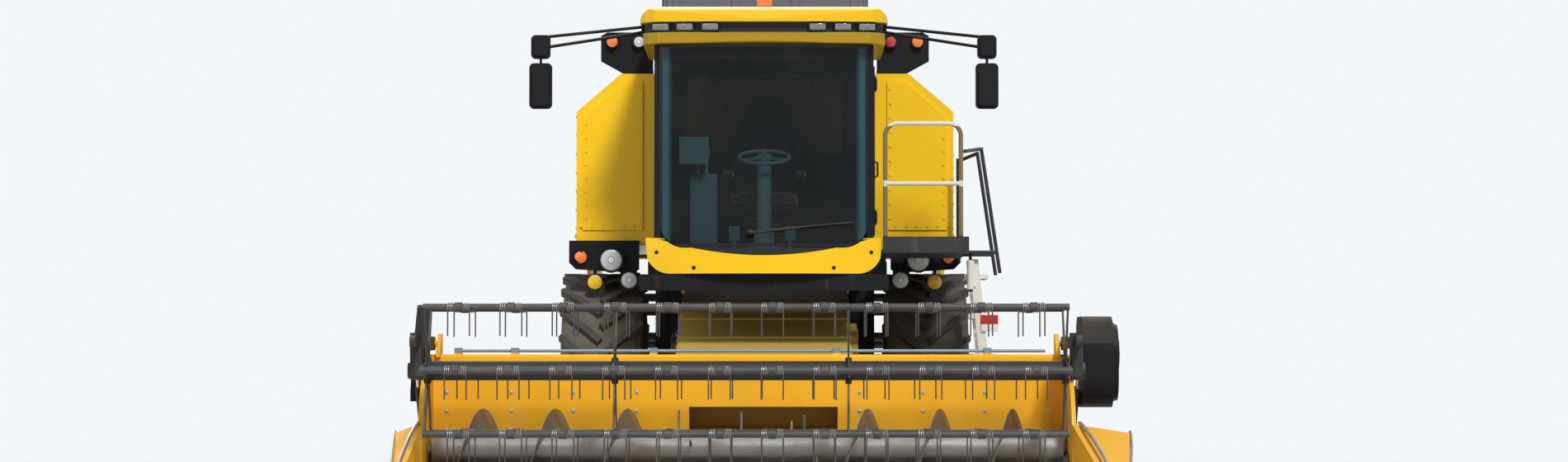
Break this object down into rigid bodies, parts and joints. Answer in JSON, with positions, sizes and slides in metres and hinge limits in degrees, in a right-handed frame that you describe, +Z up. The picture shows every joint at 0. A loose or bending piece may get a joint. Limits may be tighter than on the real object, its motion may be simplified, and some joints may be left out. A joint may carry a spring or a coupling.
{
  "type": "combine harvester",
  "caption": "Self-propelled grain combine harvester with a finger-reel cutting header, glazed cab, open grain tank covers, folded unloading auger and steered rear wheels.",
  "frame": {"origin": "middle of the bounding box on the ground", "axes": "+Z up, the machine faces -Y, and its own left side is +X"},
  "size_m": [5.2, 9.4, 4.21],
  "materials": {
    "yellow_paint": "gloss",
    "black_paint": "satin",
    "grey_paint": "satin",
    "cream_paint": "satin",
    "bare_steel": "worn",
    "cast": "matte",
    "tyre_rubber": "matte",
    "tinted_glass": "gloss",
    "black_plastic": "matte",
    "seat_cloth": "matte",
    "amber_lens": "gloss"
  },
  "bodies": {
    "chassis": {"frame": "black_paint", "separator": "grey_paint", "engine": "cast", "grain_tank": "yellow_paint", "cab_frame": "black_paint", "cab_bumper": "yellow_paint", "cab_roof": "yellow_paint", "windscreen": "tinted_glass", "cab_glass": "tinted_glass", "seat": "seat_cloth", "controls": "black_plastic", "mirrors": "black_plastic", "lamps": "black_plastic", "beacon": "amber_lens", "platform": "black_paint", "engine_hood": "yellow_paint", "exhaust": "black_paint", "straw_hood": "yellow_paint", "rear_axle": "black_paint"},
    "front_wheel_left": {"front_tyre_left": "tyre_rubber", "front_rim_left": "yellow_paint"},
    "front_wheel_right": {"front_tyre_right": "tyre_rubber", "front_rim_right": "yellow_paint"},
    "steer_left": {"knuckle_left": "black_paint"},
    "steer_right": {"knuckle_right": "black_paint"},
    "tie_rod": {"tie_rod": "bare_steel"},
    "rear_wheel_left": {"rear_tyre_left": "tyre_rubber", "rear_rim_left": "yellow_paint"},
    "rear_wheel_right": {"rear_tyre_right": "tyre_rubber", "rear_rim_right": "yellow_paint"},
    "cover_left": {"cover_left": "grey_paint"},
    "cover_right": {"cover_right": "grey_paint"},
    "cover_front": {"cover_front": "grey_paint"},
    "cover_rear": {"cover_rear": "grey_paint"},
    "unloading_auger": {"unloading_auger": "yellow_paint"},
    "cab_door": {"cab_door": "black_paint", "door_glass": "tinted_glass"},
    "ladder": {"ladder": "cream_paint"},
    "shield_left": {"shield_left": "yellow_paint"},
    "shield_right": {"shield_right": "yellow_paint"},
    "dust_screen": {"dust_screen": "black_plastic"},
    "spreader_plate": {"spreader_plate": "black_paint"},
    "header": {"feeder_house": "yellow_paint", "header_frame": "yellow_paint", "cutterbar": "bare_steel", "drive_guard": "black_plastic"},
    "lift_barrels": {"lift_barrels": "black_paint"},
    "lift_rods": {"lift_rods": "bare_steel"},
    "header_auger": {"header_auger": "bare_steel"},
    "reel_arms": {"reel_arms": "grey_paint"},
    "reel_carriage": {"reel_carriage": "black_plastic"},
    "reel": {"reel": "grey_paint"},
    "reel_barrels": {"reel_barrels": "black_paint"},
    "reel_rods": {"reel_rods": "bare_steel"}
  },
  "joints": [
    {"name": "front_spin_left", "type": "hinge", "parent": "chassis", "child": "front_wheel_left", "pos_m": [1.275, -0.28, 0.89], "axis": [1, 0, 0], "continuous": true},
    {"name": "front_spin_right", "type": "hinge", "parent": "chassis", "child": "front_wheel_right", "pos_m": [-1.275, -0.28, 0.89], "axis": [1, 0, 0], "continuous": true},
    {"name": "steer_left", "type": "hinge", "parent": "chassis", "child": "steer_left", "pos_m": [1, 3.32, 0.625], "axis": [0, 0, 1], "range_deg": [-30, 30]},
    {"name": "steer_right", "type": "hinge", "parent": "chassis", "child": "steer_right", "pos_m": [-1, 3.32, 0.625], "axis": [0, 0, 1], "range_deg": [-30, 30]},
    {"name": "tie_rod_slide", "type": "slide", "parent": "chassis", "child": "tie_rod", "axis": [1, 0, 0], "range_m": [-0.108, 0.108]},
    {"name": "rear_spin_left", "type": "hinge", "parent": "steer_left", "child": "rear_wheel_left", "pos_m": [1.27, 3.32, 0.625], "axis": [1, 0, 0], "continuous": true},
    {"name": "rear_spin_right", "type": "hinge", "parent": "steer_right", "child": "rear_wheel_right", "pos_m": [-1.27, 3.32, 0.625], "axis": [1, 0, 0], "continuous": true},
    {"name": "feeder_lift", "type": "hinge", "parent": "chassis", "child": "header", "pos_m": [0, -0.63, 1.35], "axis": [-1, 0, 0], "range_deg": [0, 16]},
    {"name": "lift_barrel_pivot", "type": "hinge", "parent": "chassis", "child": "lift_barrels", "pos_m": [0, -0.43, 0.6], "axis": [-1, 0, 0], "range_deg": [0, 13.4]},
    {"name": "lift_rod_slide", "type": "slide", "parent": "lift_barrels", "child": "lift_rods", "axis": [0, -1, 0.0063], "range_m": [0, 0.204]},
    {"name": "header_auger_spin", "type": "hinge", "parent": "header", "child": "header_auger", "pos_m": [-0.11, -3.27, 0.43], "axis": [1, 0, 0], "continuous": true},
    {"name": "reel_lift", "type": "hinge", "parent": "header", "child": "reel_arms", "pos_m": [-0.11, -3, 1.2], "axis": [-1, 0, 0], "range_deg": [0, 25]},
    {"name": "reel_slide", "type": "slide", "parent": "reel_arms", "child": "reel_carriage", "axis": [0, -1, 0], "range_m": [0, 0.25]},
    {"name": "reel_spin", "type": "hinge", "parent": "reel_carriage", "child": "reel", "pos_m": [-0.11, -4.15, 1], "axis": [1, 0, 0], "continuous": true},
    {"name": "reel_barrel_pivot", "type": "hinge", "parent": "header", "child": "reel_barrels", "pos_m": [-0.11, -3.23, 0.56], "axis": [-1, 0, 0], "range_deg": [0, 14.8]},
    {"name": "reel_rod_slide", "type": "slide", "parent": "reel_barrels", "child": "reel_rods", "axis": [0, -0.7138, 0.7003], "range_m": [0, 0.255]},
    {"name": "unloader_swing", "type": "hinge", "parent": "chassis", "child": "unloading_auger", "pos_m": [1.22, -0.28, 2.99], "axis": [0, 0, -1], "range_deg": [0, 90]},
    {"name": "cab_door_hinge", "type": "hinge", "parent": "chassis", "child": "cab_door", "pos_m": [0.836, -2.15084, 2.65], "axis": [0, 0, -1], "range_deg": [0, 80]},
    {"name": "ladder_swing", "type": "hinge", "parent": "chassis", "child": "ladder", "pos_m": [1.56, -1.84, 1.74], "axis": [0, 0, 1], "range_deg": [0, 90]},
    {"name": "cover_left_hinge", "type": "hinge", "parent": "chassis", "child": "cover_left", "pos_m": [0.82, 0.22, 3.41], "axis": [0, -1, 0], "range_deg": [0, 90]},
    {"name": "cover_right_hinge", "type": "hinge", "parent": "chassis", "child": "cover_right", "pos_m": [-0.82, 0.22, 3.41], "axis": [0, 1, 0], "range_deg": [0, 90]},
    {"name": "cover_front_hinge", "type": "hinge", "parent": "chassis", "child": "cover_front", "pos_m": [0, -0.724, 3.356], "axis": [-1, 0, 0], "range_deg": [0, 90]},
    {"name": "cover_rear_hinge", "type": "hinge", "parent": "chassis", "child": "cover_rear", "pos_m": [0, 1.164, 3.356], "axis": [1, 0, 0], "range_deg": [0, 90]},
    {"name": "shield_left_hinge", "type": "hinge", "parent": "chassis", "child": "shield_left", "pos_m": [1.484, 1.62, 1.968], "axis": [0, -1, 0], "range_deg": [0, 75]},
    {"name": "shield_right_hinge", "type": "hinge", "parent": "chassis", "child": "shield_right", "pos_m": [-1.484, 1.62, 1.968], "axis": [0, 1, 0], "range_deg": [0, 75]},
    {"name": "dust_screen_spin", "type": "hinge", "parent": "chassis", "child": "dust_screen", "pos_m": [-1.48, 1.97, 2.34], "axis": [1, 0, 0], "continuous": true},
    {"name": "spreader_hinge", "type": "hinge", "parent": "chassis", "child": "spreader_plate", "pos_m": [0, 4.542, 1.7], "axis": [1, 0, 0], "range_deg": [0, 60]}
  ],
  "couplings": [
    {"joint": "steer_right", "follows": "steer_left", "ratio": 1},
    {"joint": "tie_rod_slide", "follows": "steer_left", "m_per_rad": -0.205},
    {"joint": "lift_barrel_pivot", "follows": "feeder_lift", "ratio": 0.8342},
    {"joint": "lift_rod_slide", "follows": "feeder_lift", "m_per_rad": 0.7287},
    {"joint": "reel_barrel_pivot", "follows": "reel_lift", "ratio": 0.5901},
    {"joint": "reel_rod_slide", "follows": "reel_lift", "m_per_rad": 0.5829}
  ]
}
